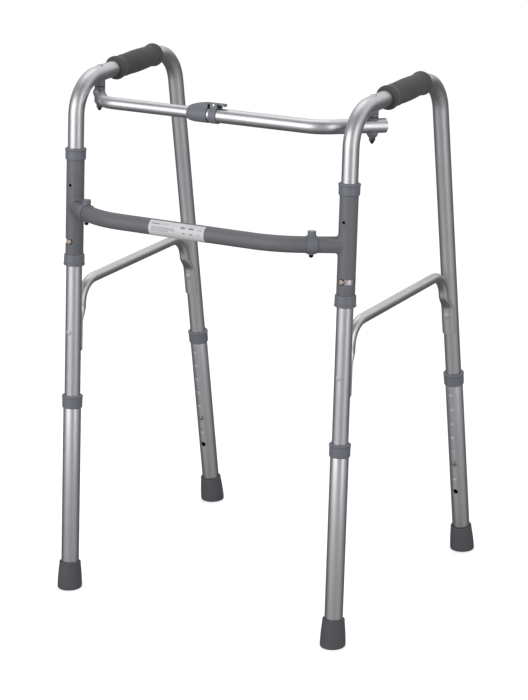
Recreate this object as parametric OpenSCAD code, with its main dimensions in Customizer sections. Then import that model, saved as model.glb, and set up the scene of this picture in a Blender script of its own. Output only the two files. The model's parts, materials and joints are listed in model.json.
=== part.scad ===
// Folding walking frame with telescopic legs, two hinged side frames and a telescopic top bar.
// Axes: X across the frame (+X right when facing the crossbar), +Y toward the user, +Z up, feet on Z = 0.

/* [Stance] */
// distance between the axes of the two front posts
post_spacing = 492; // [440:1:560]
// distance on the floor from front foot to rear foot
foot_spacing = 445; // [380:1:520]
// lean of the front posts toward the user, degrees
front_lean = 5.6; // [2:0.1:9]
// lean of the rear legs toward the crossbar, degrees
rear_lean = 5.8; // [2:0.1:9]
// height of the handle tube's axis
handle_height = 825; // [780:1:880]
// centre-line radius of both handle bends
handle_bend = 60; // [45:1:75]

/* [Tubes] */
// outside diameter of the side frame tube
frame_tube = 25.4; // [22:0.1:28]
// wall of the side frame tube
frame_wall = 1.3; // [1:0.1:2]
// outside diameter of the leg tubes, sleeves and their wall's outer face
leg_tube = 28.6; // [26:0.1:32]
// outside diameter of the side brace tube
brace_tube = 16; // [12:0.5:20]
// outside diameter of the crossbar
crossbar_tube = 25.4; // [22:0.1:28]
// radial clearance of tubes that slide or turn in each other
running_fit = 0.07; // [0.02:0.01:0.1]

/* [Height setting] */
// number of holes in each leg tube
hole_count = 8; // [5:1:9]
// distance between neighbouring holes
hole_pitch = 25.4; // [20:0.1:30]
// hole that the snap button stands in, counted from the top
set_hole = 6; // [1:1:8]
// height of that hole above the floor, measured along the leg
set_height = 162.5; // [120:0.5:200]
// diameter of the leg holes
leg_hole = 8.6; // [7:0.1:10]
// diameter of the snap buttons
button = 8; // [6:0.1:9]

/* [Sleeves and crossbar] */
// height of the crossbar's axis, measured along the post
tee_height = 630; // [560:1:700]
// length of a sleeve with both its caps
sleeve_length = 188.5; // [150:0.5:220]
// height of the fold button below the crossbar's axis
fold_button_drop = 55; // [40:1:70]
// how far each side frame folds before its button drops into the second hole, degrees
fold_angle = 85; // [60:1:86]
// height of the small upper hole above the crossbar's axis
upper_hole_rise = 36; // [20:1:50]
// how far the crossbar bows forward of the posts
bow_depth = 63; // [40:1:90]
// angle at which the crossbar leaves each sleeve
bow_angle = 36; // [20:1:60]
// centre-line radius of the crossbar's bends
bow_bend = 130; // [80:1:180]
// distance from post axis to the joint of stub and crossbar
stub_length = 52; // [38:0.5:60]

/* [Top bar] */
// distance from a post's axis back to its pivot bolt
pivot_offset = 65; // [50:1:80]
// height of the top bar's axis, measured along the post
bar_height = 802; // [770:1:815]
// outside diameter of the outer, right-hand bar tube
outer_bar = 22.2; // [20:0.1:25]
// outside diameter of the inner, left-hand bar tube
inner_bar = 19; // [16:0.1:20]
// wall of both bar tubes
bar_wall = 1; // [0.8:0.1:1.5]
// position of the bar's straight part behind the posts
bar_line = -4; // [-20:1:30]
// angle of the bent bar ends
bar_angle = 52; // [30:1:60]
// centre-line radius of the bar's bends
bar_bend = 45; // [30:1:70]
// length of bar beyond each pivot bolt
bar_tail = 21; // [14:1:40]

/* [Grips and feet] */
// length of a hand grip
grip_length = 120; // [90:1:130]
// largest diameter of a hand grip
grip_diameter = 38; // [30:1:44]
// height of a rubber foot
foot_height = 44; // [30:1:60]
// diameter of a rubber foot at the floor
foot_diameter = 40; // [34:1:50]

/* [Hidden] */
$fn = 96;
aluminium = [0.74, 0.74, 0.77];
grey_paint = [0.42, 0.43, 0.45];
grey_plastic = [0.45, 0.48, 0.52];
foam_grey = [0.30, 0.27, 0.27];
rubber_grey = [0.36, 0.35, 0.35];
dark_steel = [0.12, 0.12, 0.13];
bright_steel = [0.80, 0.80, 0.78];
brass = [0.62, 0.45, 0.30];
label_white = [0.90, 0.90, 0.90];
// gap between pieces that move past each other without a fit
gap = 0.3;
// amount by which a cut passes a face
over = 1;
post_x = post_spacing / 2;
floor_y = foot_spacing / 2;
frame_r = frame_tube / 2;
leg_r = leg_tube / 2;
slide_bore = frame_r + running_fit;
brace_r = brace_tube / 2;
crossbar_r = crossbar_tube / 2;
// a bend is fatter than its straight lengths by this share of their radius, and they run this far into it
bend_swell = 0.013;
bend_lap = 0.8;
// side frame outline as [y, z] corners, from the front tube's lower end to the rear one's
tube_end_height = set_height - 1.5 * hole_pitch;
function post_point(height) = [-floor_y + height * sin(front_lean), height * cos(front_lean)];
function rear_point(height) = [floor_y - height * sin(rear_lean), height * cos(rear_lean)];
front_corner = post_point(handle_height / cos(front_lean));
rear_corner = rear_point(handle_height / cos(rear_lean));
side_path = [post_point(tube_end_height), front_corner, rear_corner, rear_point(tube_end_height)];
// legs and collars
leg_bottom = 8;
collar_height = 21;
collar_low = set_height + (set_hole - 1) * hole_pitch + 13;
leg_top = collar_low + collar_height - 3;
collar_edge = 2.4;
button_r = button / 2;
button_proud = 2.6;
fold_button_proud = 2;
button_floor = 6;
leaf_thickness = 1;
leaf_width = 7;
leaf_length = 34;
// brace
brace_height = 499.5;
brace_low = 396;
brace_bend = 38;
brace_stand = frame_r + brace_r + gap;
brace_pad = 3;
brace_pad_angle = 110;
brace_pad_height = 46;
brace_press = 6;
brace_press_width = 23;
brace_skin = 0.3;
brace_rise = brace_low + brace_pad_height + 18;
brace_bolt_r = 2.5;
brace_bolt_height = 428;
// sleeve
sleeve_low = tee_height - sleeve_length / 2;
sleeve_high = tee_height + sleeve_length / 2;
cap_height = 18.5;
cap_lip = 3;
cap_chamfer = 1;
cap_r = leg_r + 2.2;
fold_button_height = tee_height - fold_button_drop;
fold_hole_r = 5;
fold_slot = 8;
fold_button_r = 4.5;
upper_hole_r = 2.6;
crossbar_wall = 1.5;
spigot_r = crossbar_r - crossbar_wall - 0.1;
spigot_length = 12;
stub_r = crossbar_r - 0.2;
weld_bead = 1.6;
label_start = -59;
label_length = 99;
label_angle = 150;
label_tilt = -7;
label_thickness = 0.3;
// crossbar clamp
clamp_width = 15.5;
clamp_r = crossbar_r + 1.1;
clamp_boss_r = 6.5;
clamp_boss_rise = 8;
clamp_screw_r = 2;
// top bar
outer_bar_r = outer_bar / 2;
inner_bar_r = inner_bar / 2;
pivot_r = 3;
pivot_hole = pivot_r + running_fit;
bar_reach = pivot_offset - bar_line;
bar_corner_x = post_x - bar_reach / tan(bar_angle);
handle_rise = (handle_height + pivot_offset * sin(front_lean)) / cos(front_lean) - bar_height;
seat_rise = 12.1;
washer_thickness = 1.2;
saddle_r = 8.5;
cup_depth = 6;
nut_r = 5.5;
nut_height = 5;
dome_height = 5;
nut_depth = nut_height + 2;
// bar lock, measured along the bar from the frame's middle
nose_start = -34;
nose_end = 1;
ring_start = 6;
ring_end = 18;
outer_bar_start = -8;
inner_bar_end = 50;
lock_r = outer_bar_r + 1.9;
lock_top = 18.6;
axle_x = 12;
axle_rise = 16;
axle_r = 1.5;
lever_end = 30;
lever_width = 8;
pin_x = 3.6;
pin_r = 1.6;
pin_low = 8.6;
pin_window = 3.4;
lever_low = axle_rise + 0.2;
spring_x = 22;
glide_start = 12;
glide_length = 30;
// grip
grip_start = 186;
grip_neck = 0.88;
grip_rim_length = 11;
grip_rim_round = 4;
grip_swell = 1.4;

// ---------- frames of reference ----------

// z along the front post from the floor, y square to it toward the user
module at_post(side) {
    translate([side * post_x, -floor_y, 0]) rotate([-front_lean, 0, 0]) children();
}

// z along the rear leg from the floor
module at_rear(side) {
    translate([side * post_x, floor_y, 0]) rotate([rear_lean, 0, 0]) children();
}

// the leg at one end of a side frame, its holes facing +y
module at_leg(side, front) {
    if (front) at_post(side) children();
    else at_rear(side) rotate([0, 0, 180]) children();
}

// the plane square to both front posts, at a height along them
module across(height) {
    translate([0, -floor_y, 0]) rotate([-front_lean, 0, 0]) translate([0, 0, height]) children();
}

// the side frame's own plane: drawn x is y and drawn y is z
module in_side_plane(side) {
    translate([side * post_x, 0, 0]) rotate([90, 0, 90]) children();
}

// the top bar's straight axis: x along the bar, z up along the posts
module at_bar() {
    across(bar_height) translate([0, bar_line, 0]) children();
}

module at_pivot(side) {
    across(bar_height) translate([side * post_x, pivot_offset, 0]) children();
}

// the stub that leaves a sleeve: x along the stub
module at_stub(side) {
    across(tee_height) translate([side * post_x, 0, 0])
        rotate([0, 0, side > 0 ? 180 + bow_angle : -bow_angle]) children();
}

// ---------- shared shapes ----------

function heading(a, b) = atan2(b.y - a.y, b.x - a.x);
function wrapped(angle) = angle > 180 ? angle - 360 : angle < -180 ? angle + 360 : angle;
function turn(p, i) = wrapped(heading(p[i], p[i + 1]) - heading(p[i - 1], p[i]));
function is_end(p, i) = i == 0 || i == len(p) - 1;
function trim(p, i, bend) = is_end(p, i) ? 0 : bend * tan(abs(turn(p, i)) / 2);
function along(angle, distance) = distance * [cos(angle), sin(angle)];
// the same path with both ends made longer
function longer(p, extra) = [
    for (i = [0 : len(p) - 1])
        i == 0 ? p[0] - along(heading(p[0], p[1]), extra)
        : i == len(p) - 1 ? p[i] + along(heading(p[i - 1], p[i]), extra)
        : p[i]
];

// how far a straight length starts before corner i's arc ends, so that the two run into each other
function lapped(p, i, bend) = is_end(p, i) ? 0 : trim(p, i, bend) - bend_lap;

// round rod along corners in the XY plane, each corner rounded to the bend radius
module rod(p, bend, r) {
    for (i = [0 : len(p) - 2]) {
        angle = heading(p[i], p[i + 1]);
        start = lapped(p, i, bend);
        length = norm(p[i + 1] - p[i]) - start - lapped(p, i + 1, bend);
        translate(p[i] + along(angle, start)) rotate([0, 0, angle]) rotate([0, 90, 0])
            cylinder(r = r, h = length);
    }
    for (i = [1 : len(p) - 2]) {
        angle = heading(p[i - 1], p[i]);
        bent = turn(p, i);
        hand = bent > 0 ? 1 : -1;
        translate(p[i] - along(angle, trim(p, i, bend)) + along(angle + 90 * hand, bend))
            rotate([0, 0, bent > 0 ? angle - 90 : angle + 90 + bent])
            rotate_extrude(angle = abs(bent)) translate([bend, 0]) circle(r = r * (1 + bend_swell));
    }
}

module bent_tube(p, bend, r, wall) {
    difference() {
        rod(p, bend, r);
        rod(longer(p, over), bend, r - wall);
    }
}

module ring(outer, inner, height) {
    difference() {
        cylinder(r = outer, h = height);
        translate([0, 0, -over]) cylinder(r = inner, h = height + 2 * over);
    }
}

// a radial hole that faces +y, from the axis outward
module side_hole(height, r, reach = 20) {
    translate([0, 0, height]) rotate([-90, 0, 0]) cylinder(r = r, h = reach);
}

// bolt head or button end: a disc with a rounded rim, its top at z = height
module rounded_disc(r, height, rim) {
    rotate_extrude() {
        square([r - rim, height]);
        square([r, height - rim]);
        translate([r - rim, height - rim]) circle(r = rim, $fn = 48);
    }
}

// ---------- sleeves and crossbar ----------

module sleeve(side) {
    color(grey_paint) difference() {
        union() {
            at_post(side) translate([0, 0, sleeve_low + cap_lip])
                cylinder(r = leg_r, h = sleeve_length - 2 * cap_lip);
            at_stub(side) rotate([0, 90, 0]) {
                cylinder(r = stub_r, h = stub_length);
                cylinder(r = spigot_r, h = stub_length + spigot_length);
            }
            weld(side);
        }
        at_stub(side) screw_hole();
        at_post(side) {
            translate([0, 0, sleeve_low]) cylinder(r = slide_bore, h = sleeve_length);
            rotate([0, 0, 180]) {
                side_hole(tee_height + upper_hole_rise, upper_hole_r);
                side_hole(fold_button_height, fold_hole_r);
            }
            rotate([0, 0, (fold_angle - 180) * side]) side_hole(fold_button_height, fold_hole_r);
            translate([0, 0, fold_button_height - fold_slot / 2]) rotate([0, 0, side > 0 ? -90 : 270 - fold_angle])
                rotate_extrude(angle = fold_angle) translate([frame_r - 1, 0]) square([5, fold_slot]);
        }
        at_stub(side) translate([leg_r + 3, 0, 0]) rotate([0, 90, 0])
            cylinder(r = spigot_r - 1.4, h = stub_length + spigot_length);
    }
}

// raised bead where the stub is welded to the sleeve
module weld(side) {
    intersection() {
        at_post(side) cylinder(r = leg_r + weld_bead, h = handle_height);
        at_stub(side) rotate([0, 90, 0]) cylinder(r = stub_r + weld_bead, h = stub_length);
    }
}

module screw_hole() {
    translate([stub_length + 2, 0, -50]) cylinder(r = clamp_screw_r, h = 100);
}

// plastic cap on a tube's end, its lip at z = 0
module cap_shape(height, edge) {
    difference() {
        rotate_extrude() polygon([
            [0, 0], [cap_r - cap_chamfer, 0], [cap_r, cap_chamfer],
            [cap_r, height - edge], [cap_r - edge, height], [0, height]
        ]);
        translate([0, 0, cap_lip]) cylinder(r = leg_r, h = height);
        translate([0, 0, -over]) cylinder(r = frame_r + gap, h = height);
    }
}

module sleeve_cap(side, upper) {
    color(grey_plastic) at_post(side) {
        if (upper) translate([0, 0, sleeve_high]) mirror([0, 0, 1]) cap_shape(cap_height, cap_chamfer);
        else translate([0, 0, sleeve_low]) cap_shape(cap_height, cap_chamfer);
    }
}

// crossbar corners in the plane square to the posts
crossbar_start = [post_x - stub_length * cos(bow_angle), -stub_length * sin(bow_angle)];
crossbar_corner = [post_x - bow_depth / tan(bow_angle), -bow_depth];
crossbar_path = [
    [-crossbar_start.x, crossbar_start.y],
    [-crossbar_corner.x, crossbar_corner.y],
    crossbar_corner,
    crossbar_start
];

module crossbar() {
    color(grey_paint) difference() {
        across(tee_height) bent_tube(crossbar_path, bow_bend, crossbar_r, crossbar_wall);
        for (side = [-1, 1]) at_stub(side) screw_hole();
    }
}

// a thin sheet bent round the crossbar's front
module label() {
    color(label_white) across(tee_height) translate([label_start, -bow_depth, 0]) rotate([0, 90, 0])
        rotate([0, 0, 270 - label_tilt - label_angle / 2]) rotate_extrude(angle = label_angle)
            translate([crossbar_r, 0]) square([label_thickness, label_length]);
}

module clamp(side) {
    color(grey_plastic) at_stub(side) translate([stub_length + 2, 0, 0]) difference() {
        union() {
            translate([-clamp_width / 2, 0, 0]) rotate([0, 90, 0]) cylinder(r = clamp_r, h = clamp_width);
            cylinder(r = clamp_boss_r, h = crossbar_r + clamp_boss_rise);
            translate([0, 0, -crossbar_r - 2]) cylinder(r = 5, h = 10);
        }
        translate([-clamp_width, 0, 0]) rotate([0, 90, 0]) cylinder(r = crossbar_r + 0.2, h = 2 * clamp_width);
        translate([0, 0, -50]) cylinder(r = clamp_screw_r, h = 100);
        translate([0, 0, crossbar_r + clamp_boss_rise - 3]) cylinder(r = 4.2, h = 10);
    }
}

module clamp_screws() {
    color(dark_steel) for (side = [-1, 1]) at_stub(side) translate([stub_length + 2, 0, 0]) {
        translate([0, 0, -crossbar_r - 7]) cylinder(r = clamp_screw_r, h = 2 * crossbar_r + clamp_boss_rise + 4.5);
        translate([0, 0, crossbar_r + clamp_boss_rise - 3]) rounded_disc(4, 3, 0.8);
        translate([0, 0, -crossbar_r - 6]) cylinder(r = 3.4, h = 4, $fn = 6);
    }
}

// ---------- side frames ----------

module side_tube(side) {
    color(aluminium) difference() {
        in_side_plane(side) bent_tube(side_path, handle_bend, frame_r, frame_wall);
        for (front = [true, false]) at_leg(side, front) side_hole(set_height, button_r + gap);
        at_post(side) {
            rotate([0, 0, 180]) {
                side_hole(fold_button_height, fold_button_r + gap);
                side_hole(tee_height + upper_hole_rise, upper_hole_r);
            }
            brace_bolt_hole();
        }
        at_rear(side) brace_bolt_hole();
        at_pivot(side) {
            cylinder(r = pivot_r, h = 60);
            translate([0, 0, handle_rise + frame_r - 1]) cylinder(r = 4.5, h = 10);
        }
    }
}

module brace_bolt_hole() {
    translate([0, -30, brace_bolt_height]) rotate([-90, 0, 0]) cylinder(r = brace_bolt_r, h = 60);
}

// foam grip: drawn from its rear end, with a rim at each end and a slightly swelling middle
module grip(side) {
    half = grip_length / 2;
    big = grip_diameter / 2;
    neck = big * grip_neck;
    swell_half = half - grip_rim_length;
    swell_r = (swell_half * swell_half + grip_swell * grip_swell) / (2 * grip_swell);
    color(foam_grey) translate([side * post_x, grip_start - floor_y, handle_height]) rotate([-90, 0, 0])
        difference() {
            rotate_extrude() {
                square([neck, grip_length]);
                intersection() {
                    translate([neck + grip_swell - swell_r, half]) circle(r = swell_r, $fn = 360);
                    square([grip_diameter, grip_length]);
                }
                for (end = [0, 1]) translate([0, end * (grip_length - grip_rim_length)])
                    rim_outline(big, grip_rim_length, grip_rim_round);
            }
            translate([0, 0, -over]) cylinder(r = frame_r, h = grip_length + 2 * over);
        }
}

// half outline of a disc with both edges rounded
module rim_outline(r, height, rounding) {
    square([r - rounding, height]);
    translate([0, rounding]) square([r, height - 2 * rounding]);
    for (edge = [rounding, height - rounding]) translate([r - rounding, edge]) circle(r = rounding, $fn = 48);
}

// pressed brace end: a curved pad on the post and the solid taper from it up to the tube
module brace_end() {
    pad_top = brace_low + brace_pad_height;
    difference() {
        union() {
            translate([0, 0, brace_low]) rotate([0, 0, 90 - brace_pad_angle / 2])
                rotate_extrude(angle = brace_pad_angle)
                    translate([frame_r - 1, 0]) square([brace_pad + 1, brace_pad_height]);
            hull() {
                translate([0, 0, pad_top - brace_press]) intersection() {
                    cylinder(r = frame_r + brace_pad + brace_skin, h = 2, $fn = 64);
                    translate([-brace_press_width / 2, 0, 0]) cube([brace_press_width, 20, 2]);
                }
                translate([0, brace_stand, brace_rise]) cylinder(r = brace_r + brace_skin, h = 2, $fn = 32);
            }
        }
        translate([0, 0, brace_low - over]) cylinder(r = frame_r, h = 120);
    }
}

module brace(side) {
    foot_front = post_point(brace_rise) + along(-front_lean, brace_stand);
    foot_rear = rear_point(brace_rise) + along(180 + rear_lean, brace_stand);
    lift_front = (brace_height - foot_front.y) / cos(front_lean);
    lift_rear = (brace_height - foot_rear.y) / cos(rear_lean);
    path = [
        foot_front,
        foot_front + along(90 - front_lean, lift_front),
        foot_rear + along(90 + rear_lean, lift_rear),
        foot_rear
    ];
    color(aluminium) difference() {
        union() {
            in_side_plane(side) bent_tube(path, brace_bend, brace_r, 1.2);
            at_post(side) brace_end();
            at_rear(side) rotate([0, 0, 180]) brace_end();
        }
        at_post(side) brace_bolt_hole();
        at_rear(side) brace_bolt_hole();
    }
}

module brace_bolts(side) {
    reach = frame_r + brace_pad;
    color(bright_steel) for (front = [true, false]) at_leg(side, front) translate([0, 0, brace_bolt_height]) {
        translate([0, -frame_r - 1, 0]) rotate([-90, 0, 0])
            cylinder(r = brace_bolt_r, h = frame_r + 1 + reach);
        translate([0, reach - 0.4, 0]) rotate([-90, 0, 0]) rounded_disc(4.5, 2.6, 0.9);
        translate([0, 0.9 - frame_r, 0]) rotate([90, 0, 0]) rounded_disc(4.2, 2.2, 0.8);
    }
}

// ---------- pivots of the top bar ----------

// bolt through the handle, its round head let into the top of the tube
module pivot_bolt(side) {
    low = side > 0 ? seat_rise + washer_thickness + 2 * gap : -inner_bar_r - cup_depth - nut_depth;
    color(bright_steel) at_pivot(side) {
        translate([0, 0, low]) cylinder(r = pivot_r, h = handle_rise + frame_r - low);
        translate([0, 0, handle_rise + frame_r - 1]) rounded_disc(4.5, 2.2, 1);
    }
}

// plastic seat under the handle tube
module saddle(side) {
    low = seat_rise + washer_thickness + 2 * gap;
    color(grey_plastic) difference() {
        at_pivot(side) translate([0, 0, low]) cylinder(r = saddle_r, h = handle_rise - low - frame_r / 3);
        in_side_plane(side) rod(side_path, handle_bend, frame_r);
        at_pivot(side) cylinder(r = pivot_r, h = 60);
    }
}

module washer(side) {
    low = side > 0 ? seat_rise : seat_rise + gap;
    color(dark_steel) at_pivot(side) translate([0, 0, low]) ring(saddle_r, pivot_hole + gap, washer_thickness);
}

module bar_rod(side, r) {
    path = side > 0 ? right_bar_path : left_bar_path;
    across(bar_height) rod(path, bar_bend, r);
}

// plastic seat on top of the bar
module bar_saddle(side, bar_r) {
    color(grey_plastic) difference() {
        at_pivot(side) cylinder(r = saddle_r, h = seat_rise);
        bar_rod(side, bar_r);
        at_pivot(side) translate([0, 0, -over]) cylinder(r = pivot_hole + gap, h = 60);
        at_pivot(side) translate([-20, -20, -20]) cube([40, 40, 20 + bar_r / 2]);
    }
}

// cupped washer under the bar
module cup_washer(side, bar_r) {
    color(grey_plastic) difference() {
        at_pivot(side) translate([0, 0, -bar_r - cup_depth]) {
            cylinder(r1 = saddle_r - 2.5, r2 = saddle_r, h = 4);
            translate([0, 0, 4]) cylinder(r = saddle_r, h = bar_r / 2 + cup_depth - 4);
        }
        bar_rod(side, bar_r);
        at_pivot(side) translate([0, 0, -60]) cylinder(r = pivot_hole + gap, h = 60);
    }
}

// domed nut; the left-hand one sits on its bolt just clear of the bar, the right-hand one carries
// the end of its bolt
module dome_nut(side, bar_r) {
    clear = side < 0 ? gap : 0;
    color(dark_steel) at_pivot(side) translate([0, 0, -bar_r - cup_depth - clear]) {
        difference() {
            union() {
                translate([0, 0, -nut_height]) cylinder(r = nut_r, h = nut_height, $fn = 6);
                translate([0, 0, -nut_height - dome_height]) cylinder(r1 = 1.5, r2 = nut_r - 1.2, h = dome_height);
            }
            if (side < 0) translate([0, 0, -nut_depth]) cylinder(r = pivot_r, h = 60);
        }
        if (side > 0) translate([0, 0, -1]) cylinder(r = pivot_r, h = cup_depth + bar_r + seat_rise);
    }
}

// ---------- top bar ----------

bar_tail_end = [post_x, pivot_offset] + along(bar_angle, bar_tail);
left_bar_path = [[-bar_tail_end.x, bar_tail_end.y], [-bar_corner_x, bar_line], [inner_bar_end, bar_line]];
right_bar_path = [[outer_bar_start, bar_line], [bar_corner_x, bar_line], bar_tail_end];

module left_bar() {
    color(aluminium) difference() {
        across(bar_height) bent_tube(left_bar_path, bar_bend, inner_bar_r, bar_wall);
        at_pivot(-1) translate([0, 0, -30]) cylinder(r = pivot_hole, h = 60);
        at_bar() translate([pin_x, 0, 0]) cylinder(r = pin_r + 2 * gap, h = 30);
    }
}

module right_bar() {
    color(aluminium) difference() {
        across(bar_height) bent_tube(right_bar_path, bar_bend, outer_bar_r, bar_wall);
        at_pivot(1) translate([0, 0, -30]) cylinder(r = pivot_r, h = 60);
        at_bar() translate([pin_x, 0, 0]) cylinder(r = pin_window, h = 30);
    }
}

// thin sleeve between the two bar tubes
module bar_glide() {
    color(grey_plastic) at_bar() translate([glide_start, 0, 0]) rotate([0, 90, 0])
        ring(outer_bar_r - bar_wall - running_fit, inner_bar_r + running_fit, glide_length);
}

module lock_nose() {
    color(grey_plastic) at_bar() difference() {
        union() {
            translate([nose_start, 0, 0]) rotate([0, 90, 0]) {
                cylinder(r1 = inner_bar_r + 1.2, r2 = lock_r - 0.8, h = 9);
                translate([0, 0, 9]) cylinder(r1 = lock_r - 0.8, r2 = lock_r, h = nose_end - nose_start - 9);
            }
            hull() {
                translate([nose_start + 7, 0, 0]) cylinder(r = 4, h = lock_r - 0.6, $fn = 32);
                translate([nose_end - 9, 0, 0]) cylinder(r = 7, h = lock_top - 0.9, $fn = 32);
                translate([nose_end - 2, -6.5, 0]) cube([2, 13, lock_top]);
            }
        }
        translate([outer_bar_start, 0, 0]) rotate([0, 90, 0]) cylinder(r = outer_bar_r, h = 30);
        translate([nose_start - over, 0, 0]) rotate([0, 90, 0]) cylinder(r = inner_bar_r + gap, h = 60);
    }
}

module lock_ring() {
    color(grey_plastic) at_bar() difference() {
        union() {
            translate([ring_start, 0, 0]) rotate([0, 90, 0]) cylinder(r = lock_r, h = ring_end - ring_start);
            translate([ring_start, -6.5, 0]) cube([ring_end - ring_start, 13, lock_top]);
        }
        translate([0, 0, 0]) rotate([0, 90, 0]) cylinder(r = outer_bar_r, h = 30);
        translate([0, -lever_width / 2 - gap, lock_r + 0.2]) cube([30, lever_width + 2 * gap, 20]);
        axle_hole(axle_r);
    }
}

module axle_hole(r) {
    translate([axle_x, 10, axle_rise]) rotate([90, 0, 0]) cylinder(r = r, h = 20);
}

module lock_axle() {
    color(bright_steel) at_bar() translate([axle_x, 6.5, axle_rise]) rotate([90, 0, 0]) cylinder(r = axle_r, h = 13);
}

// rocker on top of the ring, with a finger tab at its right-hand end
module lock_lever() {
    color(grey_plastic) at_bar() difference() {
        rotate([90, 0, 0]) linear_extrude(height = lever_width, center = true) {
            translate([nose_end + 2 * gap, lever_low]) square([lever_end - nose_end - 2 * gap, lock_top - lever_low]);
            translate([axle_x, axle_rise]) circle(r = axle_r + 1.1);
            translate([lever_end - 2, lever_low - 1.6]) square([2, 3]);
        }
        axle_hole(axle_r + running_fit);
    }
}

module lock_pin() {
    color(brass) at_bar() translate([pin_x, 0, pin_low]) cylinder(r = pin_r, h = lever_low - pin_low);
}

// compression spring under the finger tab, drawn as a stack of turns on a thin core
module lock_spring() {
    turns = 4;
    height = lever_low - outer_bar_r - 2 * gap;
    wire = height / turns / 2;
    color(dark_steel) at_bar() translate([spring_x, 0, outer_bar_r + gap]) rotate_extrude() {
        for (i = [0 : turns - 1]) translate([2, wire * (2 * i + 1)]) circle(r = wire, $fn = 24);
        translate([1.7, wire]) square([0.5, height - 2 * wire]);
    }
}

// ---------- legs ----------

module leg(side, front) {
    color(aluminium) at_leg(side, front) difference() {
        translate([0, 0, leg_bottom]) cylinder(r = leg_r, h = leg_top - leg_bottom);
        translate([0, 0, leg_bottom - over]) cylinder(r = slide_bore, h = leg_top);
        for (i = [1 : hole_count]) side_hole(set_height + (set_hole - i) * hole_pitch, leg_hole / 2);
    }
}

module collar(side, front) {
    color(grey_plastic) at_leg(side, front) translate([0, 0, collar_low + collar_height]) mirror([0, 0, 1])
        cap_shape(collar_height, collar_edge);
}

module foot(side, front) {
    r = foot_diameter / 2;
    top_r = leg_r + 2.7;
    color(rubber_grey) difference() {
        at_leg(side, front) rotate_extrude() polygon([
            [0, -5], [r - 1.8, -5], [r - 1.8, 0.4], [r, 3], [r, 8],
            [top_r, foot_height - 1.5], [top_r - 1, foot_height], [0, foot_height]
        ]);
        at_leg(side, front) translate([0, 0, leg_bottom]) cylinder(r = leg_r, h = foot_height);
        translate([-500, -500, -20]) cube([1000, 1000, 20]);
    }
}

// snap button on its leaf, facing +y
module snap_button(height, r, tip) {
    translate([0, button_floor, height]) rotate([-90, 0, 0]) rounded_disc(r, tip - button_floor, 1.6);
    translate([-leaf_width / 2, button_floor - leaf_thickness, height - leaf_length + r + 1])
        cube([leaf_width, leaf_thickness, leaf_length]);
}

module leg_button(side, front) {
    color(brass) at_leg(side, front) snap_button(set_height, button_r, leg_r + button_proud);
}

module fold_button(side) {
    color(bright_steel) at_post(side) rotate([0, 0, 180])
        snap_button(fold_button_height, fold_button_r, leg_r + fold_button_proud);
}

// ---------- the frame ----------

sleeve(-1);  // left_sleeve
sleeve(1);  // right_sleeve
sleeve_cap(-1, true);  // left_upper_cap
sleeve_cap(1, true);  // right_upper_cap
sleeve_cap(-1, false);  // left_lower_cap
sleeve_cap(1, false);  // right_lower_cap
crossbar();
label();
clamp(-1);  // left_clamp
clamp(1);  // right_clamp
clamp_screws();
side_tube(-1);  // left_tube
side_tube(1);  // right_tube
grip(-1);  // left_grip
grip(1);  // right_grip
brace(-1);  // left_brace
brace(1);  // right_brace
brace_bolts(-1);  // left_brace_bolts
brace_bolts(1);  // right_brace_bolts
saddle(-1);  // left_saddle
saddle(1);  // right_saddle
pivot_bolt(-1);  // left_pivot_bolt
pivot_bolt(1);  // right_pivot_bolt
fold_button(-1);  // left_fold_button
fold_button(1);  // right_fold_button
washer(-1);  // left_washer
washer(1);  // right_washer
left_bar();
bar_saddle(-1, inner_bar_r);  // left_bar_saddle
cup_washer(-1, inner_bar_r);  // left_cup_washer
dome_nut(-1, inner_bar_r);  // left_dome_nut
right_bar();
bar_saddle(1, outer_bar_r);  // right_bar_saddle
cup_washer(1, outer_bar_r);  // right_cup_washer
dome_nut(1, outer_bar_r);  // right_dome_nut
bar_glide();
lock_nose();
lock_ring();
lock_axle();
lock_lever();
lock_pin();
lock_spring();
leg(-1, true);  // left_front_leg
leg(1, true);  // right_front_leg
leg(-1, false);  // left_rear_leg
leg(1, false);  // right_rear_leg
collar(-1, true);  // left_front_collar
collar(1, true);  // right_front_collar
collar(-1, false);  // left_rear_collar
collar(1, false);  // right_rear_collar
foot(-1, true);  // left_front_foot
foot(1, true);  // right_front_foot
foot(-1, false);  // left_rear_foot
foot(1, false);  // right_rear_foot
leg_button(-1, true);  // left_front_button
leg_button(1, true);  // right_front_button
leg_button(-1, false);  // left_rear_button
leg_button(1, false);  // right_rear_button
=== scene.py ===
"""Folding walking frame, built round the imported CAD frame.

Two bent side frames turn in the sleeves of a bowed crossbar. A sliding top bar with a lever lock joins them.
Each of the four legs ends in an outer tube with a row of holes and a rubber foot.
"""
import json
import math

import bmesh
import bpy
from mathutils import Matrix, Vector


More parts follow.
